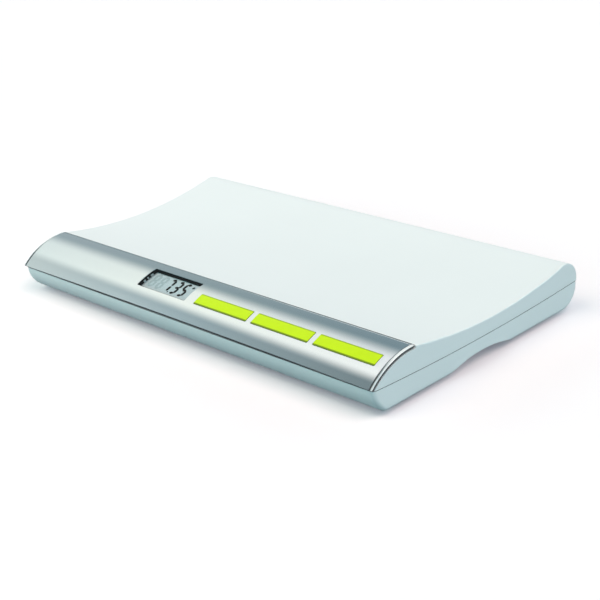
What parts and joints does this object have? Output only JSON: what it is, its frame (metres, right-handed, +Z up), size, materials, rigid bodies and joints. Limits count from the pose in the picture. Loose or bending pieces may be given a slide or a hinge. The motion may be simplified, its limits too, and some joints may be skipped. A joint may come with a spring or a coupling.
{
  "type": "baby weighing scale",
  "caption": "Long low digital baby scale: a concave weighing tray behind a bowed silver panel with a sunken display and a row of long keys, on floating feet.",
  "frame": {"origin": "centre of the footprint, at the table under the foot pads", "axes": "+X along the tray from the display's side to the keys' side, +Y from the control panel to the rear crest, +Z up"},
  "size_m": [0.55, 0.308, 0.056],
  "materials": {
    "white_shell": "satin",
    "base_shell": "satin",
    "silver_panel": "silver lacquer, satin",
    "lime_key": "satin",
    "black_frame": "matte",
    "clear_window": "clear",
    "lcd": "satin",
    "elastomer": "matte",
    "circuit_board": "solder mask",
    "chip_potting": "satin",
    "white_nylon": "matte",
    "switch_black": "matte",
    "switch_stem": "matte",
    "flat_cable": "satin",
    "zinc_screw": "zinc plated",
    "battery_jacket": "satin",
    "snap_black": "matte",
    "lead_jacket": "matte",
    "door_shell": "satin",
    "foam": "open-cell foam",
    "foot_shell": "matte",
    "pad_rubber": "matte",
    "cell_steel": "stamped, brushed",
    "gauge_sealant": "matte",
    "cover_shell": "matte"
  },
  "bodies": {
    "case": {"upper_shell": "white_shell", "lower_shell": "base_shell", "control_panel": "silver_panel", "panel_screws": "zinc_screw", "display_bezel": "black_frame", "display_window": "clear_window", "lcd_glass": "lcd", "zebra_strips": "elastomer", "main_board": "circuit_board", "controller_chip": "chip_potting", "lead_sockets": "white_nylon", "key_board": "circuit_board", "key_switches": "switch_black", "board_ribbon": "flat_cable", "board_screws": "zinc_screw", "battery": "battery_jacket", "battery_snap": "snap_black", "battery_lead": "lead_jacket", "cover_screws": "zinc_screw", "case_screws": "zinc_screw", "cell_cover_front_left": "cover_shell", "cell_cover_front_right": "cover_shell", "cell_cover_rear_left": "cover_shell", "cell_cover_rear_right": "cover_shell", "cell_lead_front_left": "lead_jacket", "cell_lead_front_right": "lead_jacket", "cell_lead_rear_left": "lead_jacket", "cell_lead_rear_right": "lead_jacket"},
    "battery_door": {"battery_door": "door_shell", "door_foam": "foam"},
    "key_left": {"button_left": "lime_key", "switch_stem_left": "switch_stem"},
    "key_middle": {"button_middle": "lime_key", "switch_stem_middle": "switch_stem"},
    "key_right": {"button_right": "lime_key", "switch_stem_right": "switch_stem"},
    "foot_front_left": {"foot_front_left": "foot_shell", "foot_pad_front_left": "pad_rubber", "load_cell_front_left": "cell_steel", "gauge_coat_front_left": "gauge_sealant"},
    "foot_front_right": {"foot_front_right": "foot_shell", "foot_pad_front_right": "pad_rubber", "load_cell_front_right": "cell_steel", "gauge_coat_front_right": "gauge_sealant"},
    "foot_rear_left": {"foot_rear_left": "foot_shell", "foot_pad_rear_left": "pad_rubber", "load_cell_rear_left": "cell_steel", "gauge_coat_rear_left": "gauge_sealant"},
    "foot_rear_right": {"foot_rear_right": "foot_shell", "foot_pad_rear_right": "pad_rubber", "load_cell_rear_right": "cell_steel", "gauge_coat_rear_right": "gauge_sealant"}
  },
  "joints": [
    {"name": "key_left_press", "type": "slide", "parent": "case", "child": "key_left", "axis": [0, 0.3705, -0.9288], "range_m": [0, 0.0007], "stiffness_N_per_m": 2500, "springref_m": -0.0001},
    {"name": "key_middle_press", "type": "slide", "parent": "case", "child": "key_middle", "axis": [0, 0.3705, -0.9288], "range_m": [0, 0.0007], "stiffness_N_per_m": 2500, "springref_m": -0.0001},
    {"name": "key_right_press", "type": "slide", "parent": "case", "child": "key_right", "axis": [0, 0.3705, -0.9288], "range_m": [0, 0.0007], "stiffness_N_per_m": 2500, "springref_m": -0.0001},
    {"name": "foot_front_left_float", "type": "slide", "parent": "case", "child": "foot_front_left", "axis": [0, 0, 1], "range_m": [-0.0005, 0]},
    {"name": "foot_front_right_float", "type": "slide", "parent": "case", "child": "foot_front_right", "axis": [0, 0, 1], "range_m": [-0.0005, 0]},
    {"name": "foot_rear_left_float", "type": "slide", "parent": "case", "child": "foot_rear_left", "axis": [0, 0, 1], "range_m": [-0.0005, 0]},
    {"name": "foot_rear_right_float", "type": "slide", "parent": "case", "child": "foot_rear_right", "axis": [0, 0, 1], "range_m": [-0.0005, 0]},
    {"name": "battery_door_hinge", "type": "hinge", "parent": "case", "child": "battery_door", "pos_m": [0, 0.01425, 0.006], "axis": [1, 0, 0], "range_deg": [0, 75]}
  ]
}
